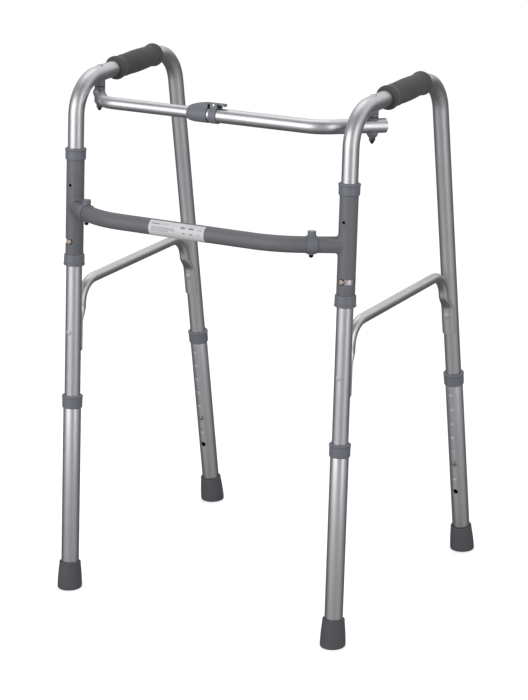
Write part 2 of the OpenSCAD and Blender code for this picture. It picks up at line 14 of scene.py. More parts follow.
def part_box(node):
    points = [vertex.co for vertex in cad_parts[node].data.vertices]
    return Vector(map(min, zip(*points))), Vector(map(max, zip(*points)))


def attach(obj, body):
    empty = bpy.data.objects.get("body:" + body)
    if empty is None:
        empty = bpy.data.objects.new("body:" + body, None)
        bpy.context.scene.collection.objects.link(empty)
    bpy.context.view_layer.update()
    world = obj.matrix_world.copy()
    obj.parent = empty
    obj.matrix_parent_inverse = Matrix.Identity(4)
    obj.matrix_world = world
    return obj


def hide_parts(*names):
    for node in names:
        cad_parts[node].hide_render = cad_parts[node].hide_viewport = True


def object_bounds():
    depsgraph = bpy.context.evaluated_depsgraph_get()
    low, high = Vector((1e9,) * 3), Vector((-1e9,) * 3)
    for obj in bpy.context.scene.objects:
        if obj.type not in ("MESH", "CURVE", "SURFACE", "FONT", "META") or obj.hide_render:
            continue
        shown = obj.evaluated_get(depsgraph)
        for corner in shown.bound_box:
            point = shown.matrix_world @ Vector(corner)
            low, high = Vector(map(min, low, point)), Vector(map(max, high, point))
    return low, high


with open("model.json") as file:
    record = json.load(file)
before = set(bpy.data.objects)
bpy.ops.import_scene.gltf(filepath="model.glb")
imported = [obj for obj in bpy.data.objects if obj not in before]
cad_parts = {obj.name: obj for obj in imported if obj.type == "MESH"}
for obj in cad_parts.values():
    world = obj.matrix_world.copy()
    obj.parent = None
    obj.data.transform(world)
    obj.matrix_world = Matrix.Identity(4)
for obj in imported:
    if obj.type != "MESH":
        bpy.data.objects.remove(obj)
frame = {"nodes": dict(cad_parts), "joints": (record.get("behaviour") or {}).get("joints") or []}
cad_low, cad_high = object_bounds()
nodes = frame["nodes"]
joints = {joint["name"]: joint for joint in frame["joints"]}

MM = 0.001
SIDES = {"left": -1, "right": 1}
ENDS = {"front": True, "rear": False}
TURN = 2 * math.pi

# ---------- sizes, in metres ----------

POST_X = abs(joints["left_fold"]["pos_m"][0])
FLOOR_Y = 222.5 * MM
POST_UP = Vector(joints["left_fold"]["axis"]).normalized()
REAR_UP = Vector(joints["left_rear_leg_slide"]["axis"]).normalized()
HANDLE_HEIGHT = 825 * MM
HANDLE_BEND = 60 * MM
FRAME_R = 12.7 * MM
FRAME_WALL = 1.3 * MM
LEG_R = 14.3 * MM
LEG_BORE = FRAME_R + 0.07 * MM
SET_HEIGHT = 162.5 * MM
HOLE_PITCH = 25.4 * MM
HOLE_COUNT = 8
SET_HOLE = 6
LEG_HOLE_R = 4.3 * MM
BUTTON_HOLE_R = 4.3 * MM
TUBE_END = SET_HEIGHT - 1.5 * HOLE_PITCH
COLLAR_LOW = SET_HEIGHT + (SET_HOLE - 1) * HOLE_PITCH + 13 * MM
COLLAR_HEIGHT = 21 * MM
LEG_BOTTOM = 8 * MM
LEG_TOP = COLLAR_LOW + COLLAR_HEIGHT - 3 * MM
CAP_R = LEG_R + 2.2 * MM
CAP_HEIGHT = 18.5 * MM
CAP_LIP = 3 * MM
TEE_HEIGHT = 630 * MM
SLEEVE_LOW = TEE_HEIGHT - 94.25 * MM
SLEEVE_HIGH = TEE_HEIGHT + 94.25 * MM
FOLD_HEIGHT = TEE_HEIGHT - 55 * MM
FOLD_HOLE_R = 5 * MM
FOLD_BUTTON_HOLE_R = 4.8 * MM
FOLD_TURN = math.radians(85)
UPPER_HOLE = TEE_HEIGHT + 36 * MM
UPPER_HOLE_R = 2.6 * MM
BOW_ANGLE = math.radians(36)
BOW_BEND = 130 * MM
BOW_DEPTH = 63 * MM
STUB_LENGTH = 52 * MM
CROSSBAR_R = 12.7 * MM
STUB_R = CROSSBAR_R - 0.2 * MM
BRACE_R = 8 * MM
BRACE_STAND = FRAME_R + BRACE_R + 0.3 * MM
BRACE_HEIGHT = 499.5 * MM
BRACE_BEND = 38 * MM
BRACE_LOW = 396 * MM
BRACE_PRESS_TOP = 440 * MM
BRACE_ROUND = 466 * MM
BRACE_LEVELS = 28
BRACE_SEGMENTS = 40
PRESSED_STAND = 1.62 * MM
PRESSED_HALF_THICK = 1.55 * MM
PRESSED_HALF_WIDTH = 12.3 * MM
PIVOT_OFFSET = 65 * MM
BAR_HEIGHT = 802 * MM
BAR_LINE = -4 * MM
BAR_ANGLE = math.radians(52)
BAR_BEND = 45 * MM
BAR_TAIL = 21 * MM
OUTER_BAR_R = 11.1 * MM
INNER_BAR_R = 9.5 * MM
BAR_WALL = 1 * MM
PIVOT_R = 3 * MM
GRIP_START = 186 * MM
GRIP_LENGTH = 120 * MM
PIN_X = 3.6 * MM
NOSE_START = -34 * MM
NOSE_END = 1 * MM
RING_START = 6 * MM
RING_END = 18 * MM
LOCK_R = 13 * MM
LOCK_TOP = 18.5 * MM
LOCK_BORE = OUTER_BAR_R + 0.02 * MM
COIL_X = 22 * MM
CUT_LENGTH = 20 * MM
TUBE_SEGMENTS = 64

# ---------- places on the frame ----------


def axes(origin, across, along, up):
    """A placement whose local x, y and z point along the three directions."""
    m = Matrix.Identity(4)
    for column, direction in enumerate((across, along, up)):
        m.col[column][:3] = direction
    m.translation = origin
    return m


def at_leg(side, front):
    """z up the tube from the floor, y toward its row of holes."""
    up = POST_UP if front else REAR_UP
    across = Vector((1 if front else -1, 0, 0))
    return axes(Vector((side * POST_X, -FLOOR_Y if front else FLOOR_Y, 0)), across, up.cross(across), up)


def across_posts(height):
    """The plane square to both front posts, its origin midway between them."""
    x = Vector((1, 0, 0))
    y = POST_UP.cross(x)
    return axes(Vector((0, -FLOOR_Y, 0)) + height * POST_UP, x, y, POST_UP)


def at_pivot(side):
    return across_posts(BAR_HEIGHT) @ Matrix.Translation((side * POST_X, PIVOT_OFFSET, 0))


def at_stub(side):
    """x along the stub that leaves the sleeve, z up the post."""
    angle = math.pi + BOW_ANGLE if side > 0 else -BOW_ANGLE
    on_post = across_posts(TEE_HEIGHT) @ Matrix.Translation((side * POST_X, 0, 0))
    return on_post @ Matrix.Rotation(angle, 4, "Z")


def at_bar():
    return across_posts(BAR_HEIGHT) @ Matrix.Translation((0, BAR_LINE, 0))


# z of a lathed piece laid along x, and along y
ALONG_X = Matrix.Rotation(math.pi / 2, 4, "Y")
ALONG_Y = Matrix.Rotation(-math.pi / 2, 4, "X")

# ---------- node groups shared by the materials ----------


def new_group(name, inputs, outputs):
    tree = bpy.data.node_groups.new(name, "ShaderNodeTree")
    for socket, kind, value in inputs:
        made = tree.interface.new_socket(socket, in_out="INPUT", socket_type=kind)
        made.default_value = value
    for socket, kind in outputs:
        tree.interface.new_socket(socket, in_out="OUTPUT", socket_type=kind)
    return tree, tree.nodes.new("NodeGroupInput"), tree.nodes.new("NodeGroupOutput")


def noise(tree, vector, scale, detail=2.0, roughness=0.5):
    """A noise node; scale may be a number or another node's output."""
    node = tree.nodes.new("ShaderNodeTexNoise")
    node.inputs["Detail"].default_value = detail
    node.inputs["Roughness"].default_value = roughness
    if isinstance(scale, (int, float)):
        node.inputs["Scale"].default_value = scale
    else:
        tree.links.new(scale, node.inputs["Scale"])
    tree.links.new(vector, node.inputs["Vector"])
    return node.outputs["Fac"]


def spread(tree, value, low, high, to_low=0.0, to_high=1.0):
    """Maps low..high of a value to another range, held at its ends."""
    node = tree.nodes.new("ShaderNodeMapRange")
    node.clamp = True
    for name, number in (("From Min", low), ("From Max", high), ("To Min", to_low), ("To Max", to_high)):
        if isinstance(number, (int, float)):
            node.inputs[name].default_value = number
        else:
            tree.links.new(number, node.inputs[name])
    tree.links.new(value, node.inputs["Value"])
    return node.outputs["Result"]


def math_node(tree, operation, a, b):
    node = tree.nodes.new("ShaderNodeMath")
    node.operation = operation
    for socket, value in zip(node.inputs, (a, b)):
        if isinstance(value, (int, float)):
            socket.default_value = value
        else:
            tree.links.new(value, socket)
    return node.outputs["Value"]


def mix_colour(tree, factor, a, b):
    node = tree.nodes.new("ShaderNodeMix")
    node.data_type = "RGBA"
    for socket, value in ((node.inputs["Factor"], factor), (node.inputs[6], a), (node.inputs[7], b)):
        if isinstance(value, (int, float)):
            socket.default_value = value
        elif isinstance(value, tuple):
            socket.default_value = (*value, 1)
        else:
            tree.links.new(value, socket)
    return node.outputs[2]


def weighed(tree, a, share_a, b, share_b):
    """The sum of two values, each times its share."""
    part_a = math_node(tree, "MULTIPLY", a, share_a)
    part_b = math_node(tree, "MULTIPLY", b, share_b)
    return math_node(tree, "ADD", part_a, part_b)


def drawn_metal_group():
    """Anodised tube: long faint drawing lines, a fine blasted grain and a few soft handling marks."""
    tree, start, end = new_group(
        "drawn metal",
        [
            ("Vector", "NodeSocketVector", (0, 0, 0)),
            ("Along", "NodeSocketVector", (1, 1, 0.03)),
            ("Base", "NodeSocketColor", (0.7, 0.7, 0.72, 1)),
            ("Shade", "NodeSocketColor", (0.6, 0.6, 0.63, 1)),
            ("Smooth", "NodeSocketFloat", 0.28),
            ("Rough", "NodeSocketFloat", 0.4),
        ],
        [("Colour", "NodeSocketColor"), ("Roughness", "NodeSocketFloat"), ("Height", "NodeSocketFloat")],
    )
    stretch = tree.nodes.new("ShaderNodeVectorMath")
    stretch.operation = "MULTIPLY"
    tree.links.new(start.outputs["Vector"], stretch.inputs[0])
    tree.links.new(start.outputs["Along"], stretch.inputs[1])
    lines = noise(tree, stretch.outputs[0], 900.0, 3.0)
    wide = noise(tree, stretch.outputs[0], 160.0, 2.0)
    grain = noise(tree, start.outputs["Vector"], 2600.0, 1.0)
    marks = noise(tree, start.outputs["Vector"], 26.0, 5.0, 0.62)
    tone = weighed(tree, lines, 0.5, wide, 0.5)
    colour = mix_colour(tree, spread(tree, tone, 0.32, 0.68), start.outputs["Shade"], start.outputs["Base"])
    tree.links.new(colour, end.inputs["Colour"])
    worn = weighed(tree, marks, 0.6, lines, 0.4)
    roughness = spread(tree, worn, 0.35, 0.65, start.outputs["Smooth"], start.outputs["Rough"])
    tree.links.new(roughness, end.inputs["Roughness"])
    relief = weighed(tree, grain, 0.6, lines, 0.4)
    tree.links.new(relief, end.inputs["Height"])
    return tree


def moulded_group():
    """Moulded or coated surface: slow colour drift, fine pebbled skin and pale rub marks."""
    tree, start, end = new_group(
        "moulded skin",
        [
            ("Vector", "NodeSocketVector", (0, 0, 0)),
            ("Base", "NodeSocketColor", (0.2, 0.2, 0.2, 1)),
            ("Shade", "NodeSocketColor", (0.15, 0.15, 0.15, 1)),
            ("Rub", "NodeSocketColor", (0.3, 0.3, 0.3, 1)),
            ("Pebble scale", "NodeSocketFloat", 1500.0),
            ("Smooth", "NodeSocketFloat", 0.4),
            ("Rough", "NodeSocketFloat", 0.6),
        ],
        [("Colour", "NodeSocketColor"), ("Roughness", "NodeSocketFloat"), ("Height", "NodeSocketFloat")],
    )
    drift = noise(tree, start.outputs["Vector"], 22.0, 4.0)
    speck = noise(tree, start.outputs["Vector"], 2200.0, 2.0)
    rubbed = noise(tree, start.outputs["Vector"], 70.0, 6.0, 0.7)
    pebble = tree.nodes.new("ShaderNodeTexVoronoi")
    pebble.feature = "SMOOTH_F1"
    tree.links.new(start.outputs["Vector"], pebble.inputs["Vector"])
    tree.links.new(start.outputs["Pebble scale"], pebble.inputs["Scale"])
    tone = weighed(tree, drift, 0.6, speck, 0.4)
    body = mix_colour(tree, spread(tree, tone, 0.36, 0.64), start.outputs["Shade"], start.outputs["Base"])
    rub = spread(tree, rubbed, 0.62, 0.8, 0.0, 0.5)
    tree.links.new(mix_colour(tree, rub, body, start.outputs["Rub"]), end.inputs["Colour"])
    roughness = spread(tree, rubbed, 0.35, 0.65, start.outputs["Rough"], start.outputs["Smooth"])
    tree.links.new(roughness, end.inputs["Roughness"])
    relief = weighed(tree, pebble.outputs["Distance"], 0.7, speck, 0.3)
    tree.links.new(relief, end.inputs["Height"])
    return tree


DRAWN_METAL = drawn_metal_group()
MOULDED = moulded_group()


def principled(name):
    """A new material with its shader, and the object-space coordinates its nodes start from."""
    made = bpy.data.materials.new(name)
    made.use_nodes = True
    tree = made.node_tree
    tree.nodes.clear()
    out = tree.nodes.new("ShaderNodeOutputMaterial")
    shader = tree.nodes.new("ShaderNodeBsdfPrincipled")
    tree.links.new(shader.outputs["BSDF"], out.inputs["Surface"])
    place = tree.nodes.new("ShaderNodeTexCoord").outputs["Object"]
    return made, tree, shader, place


def grouped(tree, group, place, values):
    node = tree.nodes.new("ShaderNodeGroup")
    node.node_tree = group
    tree.links.new(place, node.inputs["Vector"])
    for name, value in values.items():
        node.inputs[name].default_value = value
    return node


def finish_surface(tree, shader, node, bump_depth):
    bump = tree.nodes.new("ShaderNodeBump")
    bump.inputs["Distance"].default_value = bump_depth
    tree.links.new(node.outputs["Height"], bump.inputs["Height"])
    tree.links.new(bump.outputs["Normal"], shader.inputs["Normal"])
    tree.links.new(node.outputs["Colour"], shader.inputs["Base Color"])
    tree.links.new(node.outputs["Roughness"], shader.inputs["Roughness"])


def metal(name, base, shade, smooth, rough, along=(1, 1, 0.03), depth=0.00002):
    made, tree, shader, place = principled(name)
    shader.inputs["Metallic"].default_value = 1.0
    node = grouped(
        tree,
        DRAWN_METAL,
        place,
        {"Along": along, "Base": (*base, 1), "Shade": (*shade, 1), "Smooth": smooth, "Rough": rough},
    )
    finish_surface(tree, shader, node, depth)
    return made


def moulding(name, base, shade, rub, pebble, smooth, rough, depth=0.00006, sheen=0.0):
    made, tree, shader, place = principled(name)
    shader.inputs["Sheen Weight"].default_value = sheen
    node = grouped(
        tree,
        MOULDED,
        place,
        {
            "Base": (*base, 1),
            "Shade": (*shade, 1),
            "Rub": (*rub, 1),
            "Pebble scale": pebble,
            "Smooth": smooth,
            "Rough": rough,
        },
    )
    finish_surface(tree, shader, node, depth)
    return made


POST_ALUMINIUM = metal(
    "anodised aluminium, upright tubes", (0.68, 0.68, 0.71), (0.63, 0.63, 0.66), 0.34, 0.42
)
BAR_ALUMINIUM = metal(
    "anodised aluminium, top bar", (0.68, 0.68, 0.71), (0.63, 0.63, 0.66), 0.32, 0.40, along=(0.03, 1, 1)
)
BRACE_ALUMINIUM = metal(
    "anodised aluminium, brace", (0.72, 0.71, 0.71), (0.66, 0.65, 0.65), 0.32, 0.42, along=(1, 0.05, 1)
)
BRIGHT_STEEL = metal("bright zinc", (0.78, 0.78, 0.76), (0.55, 0.55, 0.55), 0.18, 0.34, along=(1, 1, 1))
# Painted reflection: the warm tone and the dark shade colour of these steel buttons stand in for reflected skin
# and a dark room, not the metal's own colour; the lock pin shares this colour.
BUTTON_METAL_PAINTED_REFLECTION = metal("button metal, painted reflection", (0.50, 0.40, 0.34), (0.32, 0.25, 0.21), 0.14, 0.26, along=(1, 1, 1))
DARK_STEEL = metal("blackened steel", (0.10, 0.10, 0.105), (0.04, 0.04, 0.042), 0.28, 0.45, along=(1, 1, 1))
SLEEVE_PAINT = moulding(
    "matt grey paint", (0.176, 0.179, 0.197), (0.160, 0.163, 0.179), (0.22, 0.222, 0.24), 1300, 0.42, 0.55
)
GREY_PLASTIC = moulding(
    "blue-grey plastic", (0.200, 0.212, 0.242), (0.180, 0.191, 0.218), (0.26, 0.272, 0.305), 1700, 0.36, 0.5
)
GRIP_FOAM = moulding(
    "grip foam",
    (0.100, 0.093, 0.097),
    (0.076, 0.070, 0.074),
    (0.13, 0.12, 0.125),
    900,
    0.8,
    0.95,
    depth=0.00022,
    sheen=0.15,
)
FOOT_RUBBER = moulding(
    "foot rubber", (0.110, 0.111, 0.125), (0.090, 0.091, 0.102), (0.14, 0.14, 0.155), 1200, 0.6, 0.78, 0.0001
)


def label_material(low, high):
    """White film with plain grey rules and blocks, no lettering."""
    made, tree, shader, place = principled("label film")
    split = tree.nodes.new("ShaderNodeSeparateXYZ")
    tree.links.new(place, split.inputs[0])
    length, height = high.x - low.x, high.z - low.z
    u = spread(tree, split.outputs["X"], low.x, high.x)
    v = spread(tree, split.outputs["Z"], low.z, high.z)

    def inside(value, start, stop):
        above = math_node(tree, "GREATER_THAN", value, start)
        return math_node(tree, "MULTIPLY", above, math_node(tree, "LESS_THAN", value, stop))

    def patch(u0, u1, v0, v1):
        return math_node(tree, "MULTIPLY", inside(u, u0, u1), inside(v, v0, v1))

    def printed(patches):
        rules = None
        for patch_sides in patches:
            part = patch(*patch_sides)
            rules = part if rules is None else math_node(tree, "MAXIMUM", rules, part)
        return rules

    dark = printed(
        (
            (0.05, 0.20, 0.84, 0.89),
            (0.05, 0.46, 0.66, 0.70),
            (0.05, 0.49, 0.57, 0.61),
            (0.05, 0.36, 0.47, 0.50),
            (0.58, 0.66, 0.76, 0.86),
            (0.72, 0.81, 0.76, 0.86),
            (0.62, 0.66, 0.46, 0.54),
            (0.75, 0.80, 0.46, 0.54),
        )
    )
    pale = printed(((0.22, 0.36, 0.84, 0.89), (0.88, 0.95, 0.74, 0.86), (0.88, 0.93, 0.46, 0.56)))
    fibre = noise(tree, place, 1800.0, 2.0)
    film = mix_colour(tree, spread(tree, fibre, 0.35, 0.65), (0.72, 0.72, 0.745), (0.78, 0.78, 0.80))
    inked = mix_colour(tree, math_node(tree, "MULTIPLY", pale, 0.5), film, (0.30, 0.52, 0.66))
    inked = mix_colour(tree, math_node(tree, "MULTIPLY", dark, 0.7), inked, (0.10, 0.10, 0.12))
    tree.links.new(inked, shader.inputs["Base Color"])
    tree.links.new(spread(tree, fibre, 0.3, 0.7, 0.34, 0.46), shader.inputs["Roughness"])
    bump = tree.nodes.new("ShaderNodeBump")
    bump.inputs["Distance"].default_value = 0.00002
    tree.links.new(fibre, bump.inputs["Height"])
    tree.links.new(bump.outputs["Normal"], shader.inputs["Normal"])
    return made


def two_tone_steel(low, high):
    """Bright screw heads above, black ends below the middle height."""
    made, tree, shader, place = principled("clamp screw steel")
    shader.inputs["Metallic"].default_value = 1.0
    node = grouped(
        tree,
        DRAWN_METAL,
        place,
        {
            "Along": (1, 1, 1),
            "Base": (0.78, 0.78, 0.78, 1),
            "Shade": (0.62, 0.62, 0.62, 1),
            "Smooth": 0.2,
            "Rough": 0.34,
        },
    )
    finish_surface(tree, shader, node, 0.00002)
    split = tree.nodes.new("ShaderNodeSeparateXYZ")
    tree.links.new(place, split.inputs[0])
    middle = (low.z + high.z) / 2
    black = spread(tree, split.outputs["Z"], middle - 0.001, middle, 1.0, 0.0)
    colour = mix_colour(tree, black, node.outputs["Colour"], (0.02, 0.02, 0.022))
    tree.links.new(colour, shader.inputs["Base Color"])
    return made


# ---------- meshes ----------


def new_piece(name, bm, material, sharp=35):
    """Turns a bmesh into a smooth-shaded object with sharp edges kept above an angle."""
    bmesh.ops.recalc_face_normals(bm, faces=bm.faces)
    mesh = bpy.data.meshes.new(name)
    bm.to_mesh(mesh)
    bm.free()
    mesh.shade_smooth()
    mesh.set_sharp_from_angle(angle=math.radians(sharp))
    mesh.materials.append(material)
    piece = bpy.data.objects.new(name, mesh)
    bpy.context.scene.collection.objects.link(piece)
    return piece


def bridge_rings(bm, rings, closed):
    """Quads between neighbouring rings of points; closed also joins the last ring to the first."""
    count = len(rings)
    for i in range(count if closed else count - 1):
        a, b = rings[i], rings[(i + 1) % count]
        for j in range(len(a)):
            k = (j + 1) % len(a)
            bm.faces.new((a[j], a[k], b[k], b[j]))


def cap_ends(bm, rings):
    bm.faces.new(rings[0])
    bm.faces.new(rings[-1])


def steps_round(count):
    """Cosine and sine of each of count equal steps round a circle."""
    return [(math.cos(TURN * k / count), math.sin(TURN * k / count)) for k in range(count)]


def lathe(name, outline, place, material, segments=TUBE_SEGMENTS, sharp=35):
    """Turns a closed outline of (radius, height) points round z into a ring-shaped piece."""
    bm = bmesh.new()
    turned = steps_round(segments)
    rings = [[bm.verts.new(place @ Vector((r * c, r * s, z))) for c, s in turned] for r, z in outline]
    bridge_rings(bm, rings, True)
    return new_piece(name, bm, material, sharp)


def rounded(outline, radius, steps=4):
    """Replaces each corner of a closed outline by a small arc-like run of points."""
    made = []
    count = len(outline)
    for i, corner in enumerate(outline):
        here = Vector(corner)
        before, after = Vector(outline[i - 1]), Vector(outline[(i + 1) % count])
        cut = min(radius, (before - here).length * 0.45, (after - here).length * 0.45)
        a = here + (before - here).normalized() * cut
        b = here + (after - here).normalized() * cut
        for k in range(steps + 1):
            t = k / steps
            made.append(tuple((1 - t) ** 2 * a + 2 * t * (1 - t) * here + t * t * b))
    return made


def path_stations(corners, bend, step=4 * MM):
    """Points and directions along straight lengths joined by arcs of the bend radius, in one plane."""
    stations = []
    for i in range(len(corners) - 1):
        a, b = corners[i], corners[i + 1]
        direction = (b - a).normalized()
        cut_a = cut_b = 0.0
        if i > 0:
            cut_a = bend * math.tan((a - corners[i - 1]).angle(b - a) / 2)
        if i < len(corners) - 2:
            cut_b = bend * math.tan((b - a).angle(corners[i + 2] - b) / 2)
        first, last = a + direction * cut_a, b - direction * cut_b
        length = (last - first).length
        count = max(1, round(length / (12 * MM)))
        stations += [(first.lerp(last, k / count), direction) for k in range(count + 1)]
        if i < len(corners) - 2:
            turned = (corners[i + 2] - b).normalized()
            angle = direction.angle(turned)
            axis = direction.cross(turned).normalized()
            centre = last + axis.cross(direction) * bend
            arc_steps = max(4, round(angle * bend / step))
            for k in range(1, arc_steps):
                turn = Matrix.Rotation(angle * k / arc_steps, 3, axis)
                stations.append((centre + turn @ (last - centre), turn @ direction))
    return stations


def swept_tube(name, corners, bend, normal, outer, inner, material, segments=48):
    """A bent tube with a real wall and lightly rounded mouths."""
    bm = bmesh.new()
    stations = path_stations(corners, bend)
    turned = steps_round(segments)
    ease = 0.35 * MM
    (p0, d0), (p1, d1) = stations[0], stations[-1]

    def ring(point, direction, radius):
        across = direction.cross(normal).normalized()
        return [bm.verts.new(point + radius * (c * normal + s * across)) for c, s in turned]

    rings = [ring(p0, d0, outer - ease)]
    rings.append(ring(p0 + d0 * ease, d0, outer))
    rings += [ring(p, d, outer) for p, d in stations[1:-1]]
    rings.append(ring(p1 - d1 * ease, d1, outer))
    rings.append(ring(p1, d1, outer - ease))
    rings += [ring(p, d, inner) for p, d in reversed(stations)]
    bridge_rings(bm, rings, True)
    return new_piece(name, bm, material)


def drill(piece, holes):
    """Cuts round holes, each (start, direction, radius, length)."""
    cutters = bmesh.new()
    for start, direction, radius, length in holes:
        turn = direction.normalized().to_track_quat("Z", "Y").to_matrix().to_4x4()
        place = Matrix.Translation(start + direction.normalized() * length / 2) @ turn
        bmesh.ops.create_cone(
            cutters, cap_ends=True, segments=40, radius1=radius, radius2=radius, depth=length, matrix=place
        )
    cut_away(piece, cutters)


def cut_away(piece, cutter):
    """Takes the closed cutter mesh out of the piece."""
    mesh = bpy.data.meshes.new("cutter")
    cutter.to_mesh(mesh)
    cutter.free()
    tool = bpy.data.objects.new("cutter", mesh)
    bpy.context.scene.collection.objects.link(tool)
    cut = piece.modifiers.new("cut", "BOOLEAN")
    cut.operation, cut.solver, cut.object = "DIFFERENCE", "EXACT", tool
    evaluated = piece.evaluated_get(bpy.context.evaluated_depsgraph_get())
    result = bpy.data.meshes.new_from_object(evaluated)
    old = piece.data
    piece.modifiers.clear()
    piece.data = result
    result.name = old.name
    bpy.data.meshes.remove(old)
    bpy.data.objects.remove(tool)
    bpy.data.meshes.remove(mesh)
    result.shade_smooth()
    result.set_sharp_from_angle(angle=math.radians(35))


def ease_edges(piece, width=0.25 * MM, segments=2, angle=35):
    """Rounds every sharp edge a little, as tumbling or moulding does."""
    bevel = piece.modifiers.new("eased edges", "BEVEL")
    bevel.width, bevel.segments, bevel.limit_method = width, segments, "ANGLE"
    bevel.angle_limit = math.radians(angle)
    bevel.harden_normals = False


def keep(node, material):
    """A CAD node that stays, with its finish."""
    mesh = nodes[node].data
    mesh.materials.clear()
    mesh.materials.append(material)


def stand_in(piece, body, slot, *cad_nodes):
    """A built piece rides on its body and may take the place of CAD nodes."""
    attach(piece, body)
    if cad_nodes:
        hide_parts(*cad_nodes)


# ---------- side frames ----------


def post_point(height):
    return Vector((0, -FLOOR_Y, 0)) + height * POST_UP


def rear_point(height):
    return Vector((0, FLOOR_Y, 0)) + height * REAR_UP


def side_tube(name, side):
    shift = Vector((side * POST_X, 0, 0))
    corners = [
        shift + post_point(TUBE_END),
        shift + post_point(HANDLE_HEIGHT / POST_UP.z),
        shift + rear_point(HANDLE_HEIGHT / REAR_UP.z),
        shift + rear_point(TUBE_END),
    ]
    tube = swept_tube(
        f"{name}_side_tube",
        corners,
        HANDLE_BEND,
        Vector((1, 0, 0)),
        FRAME_R,
        FRAME_R - FRAME_WALL,
        POST_ALUMINIUM,
    )
    holes = []
    for front in ENDS.values():
        leg = at_leg(side, front)
        facing = leg.to_3x3() @ Vector((0, 1, 0))
        holes.append((leg @ Vector((0, 0, SET_HEIGHT)), facing, BUTTON_HOLE_R, CUT_LENGTH))
    post = at_leg(side, True)
    ahead = post.to_3x3() @ Vector((0, -1, 0))
    holes.append((post @ Vector((0, 0, FOLD_HEIGHT)), ahead, FOLD_BUTTON_HOLE_R, CUT_LENGTH))
    holes.append((post @ Vector((0, 0, UPPER_HOLE)), ahead, UPPER_HOLE_R, CUT_LENGTH))
    pivot = at_pivot(side)
    bolt_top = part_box(f"{name}_pivot_bolt")[1].z
    head_height, head_hole_r = 2.4 * MM, 4.55 * MM
    seat = (bolt_top - pivot.translation.z) / POST_UP.z - head_height
    holes.append((pivot.translation, POST_UP, PIVOT_R, seat))
    drill(tube, holes)
    drill(tube, [(pivot @ Vector((0, 0, seat)), POST_UP, head_hole_r, CUT_LENGTH / 2)])
    ease_edges(tube, 0.2 * MM)
    stand_in(tube, f"{name}_side", "frame_aluminium", f"{name}_tube")


def grip_outline():
    """(distance from the front end, radius) of the foam, waisted, with a rim at each end and a ring line."""
    shape = [
        (0.0, 14.6), (0.6, 16.9), (1.8, 18.3), (3.6, 18.95), (6.0, 19.05), (8.4, 18.75), (10.8, 17.95),
        (13.2, 17.3), (16.5, 16.95), (20.0, 16.85), (24.2, 16.95), (25.2, 17.15), (25.9, 17.65), (26.8, 17.8),
        (27.7, 17.65), (28.4, 17.2), (29.4, 17.05), (36.0, 17.35), (46.0, 17.8), (58.0, 18.05), (70.0, 18.0),
        (82.0, 17.65), (92.0, 17.2), (99.0, 16.95), (104.0, 17.15), (107.5, 17.75), (110.5, 18.5),
        (113.5, 18.95), (116.2, 18.85), (118.2, 18.1), (119.4, 16.8), (120.0, 14.6),
    ]
    return [(r * MM, z * MM) for z, r in shape]


def smooth_outline(points, steps=4):
    """The outline through the same points as a smooth curve."""
    made = []
    for i in range(len(points) - 1):
        p0, p1 = points[max(i - 1, 0)], points[i]
        p2, p3 = points[i + 1], points[min(i + 2, len(points) - 1)]
        for k in range(steps):
            t = k / steps
            made.append(
                tuple(
                    0.5
                    * (
                        2 * p1[n]
                        + (p2[n] - p0[n]) * t
                        + (2 * p0[n] - 5 * p1[n] + 4 * p2[n] - p3[n]) * t * t
                        + (3 * p1[n] - p0[n] - 3 * p2[n] + p3[n]) * t**3
                    )
                    for n in (0, 1)
                )
            )
    made.append(points[-1])
    return made


def hand_grip(name, side):
    place = Matrix.Translation((side * POST_X, GRIP_START - FLOOR_Y, HANDLE_HEIGHT)) @ ALONG_Y
    outer = smooth_outline(grip_outline())
    bore = FRAME_R + 0.02 * MM
    outline = outer + [(bore + 0.6 * MM, GRIP_LENGTH - 0.2 * MM), (bore, GRIP_LENGTH - 0.8 * MM)]
    outline += [(bore, 0.8 * MM), (bore + 0.6 * MM, 0.2 * MM)]
    grip = lathe(f"{name}_hand_grip", outline, place, GRIP_FOAM, 72, sharp=60)
    stand_in(grip, f"{name}_side", "grip_foam", f"{name}_grip")


def brace_section(height):
    """Points (across, outward from the post's axis) of the brace at a height along the post."""
    blend = min(max((BRACE_ROUND - height) / (BRACE_ROUND - BRACE_PRESS_TOP), 0), 1)
    blend = blend * blend * (3 - 2 * blend)
    points = []
    for c, s in steps_round(BRACE_SEGMENTS):
        round_point = Vector((BRACE_R * c, BRACE_STAND + BRACE_R * s))
        arc = PRESSED_HALF_WIDTH * math.copysign(abs(c) ** 0.55, c)
        radius = FRAME_R + PRESSED_STAND + PRESSED_HALF_THICK * math.copysign(abs(s) ** 0.4, s)
        flat_point = Vector((radius * math.sin(arc / radius), radius * math.cos(arc / radius)))
        points.append(round_point.lerp(flat_point, blend))
    return points


def pressed_end(leg):
    """Rings of points from the rim of a flattened end up to where the brace is round."""
    rim_centre = Vector((0, FRAME_R + PRESSED_STAND))
    rings = []
    for n in range(BRACE_LEVELS + 1):
        height = BRACE_LOW + (BRACE_ROUND - BRACE_LOW) * n / BRACE_LEVELS
        points = brace_section(height)
        if n == 0:
            for point in points:
                offset = point - rim_centre
                offset.length = max(offset.length - 0.3 * MM, 0.1 * MM)
                point.xy = rim_centre + offset
        rings.append([leg @ Vector((x, y, height)) for x, y in points])
    return rings


def lined_up(ring, last):
    """The same ring, started and run so that its points lie nearest to those of the ring before."""
    count = len(ring)
    options = []
    for way in (1, -1):
        for start in range(count):
            gap = sum((ring[(start + way * k) % count] - last[k]).length for k in range(0, count, 5))
            options.append((gap, start, way))
    _, start, way = min(options)
    return [ring[(start + way * k) % count] for k in range(count)]


